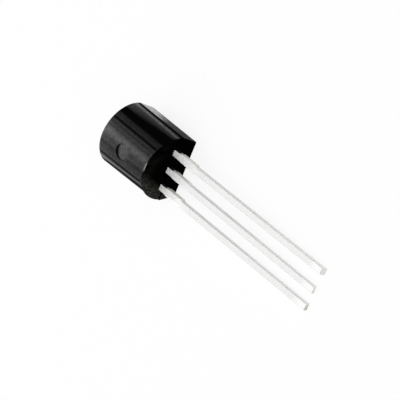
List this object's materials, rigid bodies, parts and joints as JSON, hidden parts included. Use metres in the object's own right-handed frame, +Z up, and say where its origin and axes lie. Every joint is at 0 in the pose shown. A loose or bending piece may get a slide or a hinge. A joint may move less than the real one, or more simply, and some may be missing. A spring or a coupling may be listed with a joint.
{
  "type": "to-92 transistor",
  "caption": "Small-signal through-hole transistor: black moulded body with a flat front and a round back, and straight tinned leads in a row.",
  "frame": {"origin": "on the surface that the part lies on, below the middle of its overall length and on the middle lead's centre line", "axes": "+X from the body towards the tips of the leads, +Y towards the emitter's lead across the row of leads, +Z up, from the flat towards the round back"},
  "size_m": [0.0192, 0.0046, 0.004],
  "materials": {
    "epoxy": "black moulding compound, satin, finely mottled",
    "tinned_copper": "tin-plated copper alloy strip, bright satin",
    "silicon": "polished silicon",
    "silver_adhesive": "silver-filled adhesive, matt",
    "gold": "bright drawn gold wire"
  },
  "bodies": {
    "root": {"moulded_body": "epoxy", "emitter_lead": "tinned_copper", "base_lead": "tinned_copper", "collector_lead": "tinned_copper", "silicon_die": "silicon", "die_attach": "silver_adhesive", "emitter_bond_wire": "gold", "base_bond_wire": "gold"}
  },
  "joints": []
}
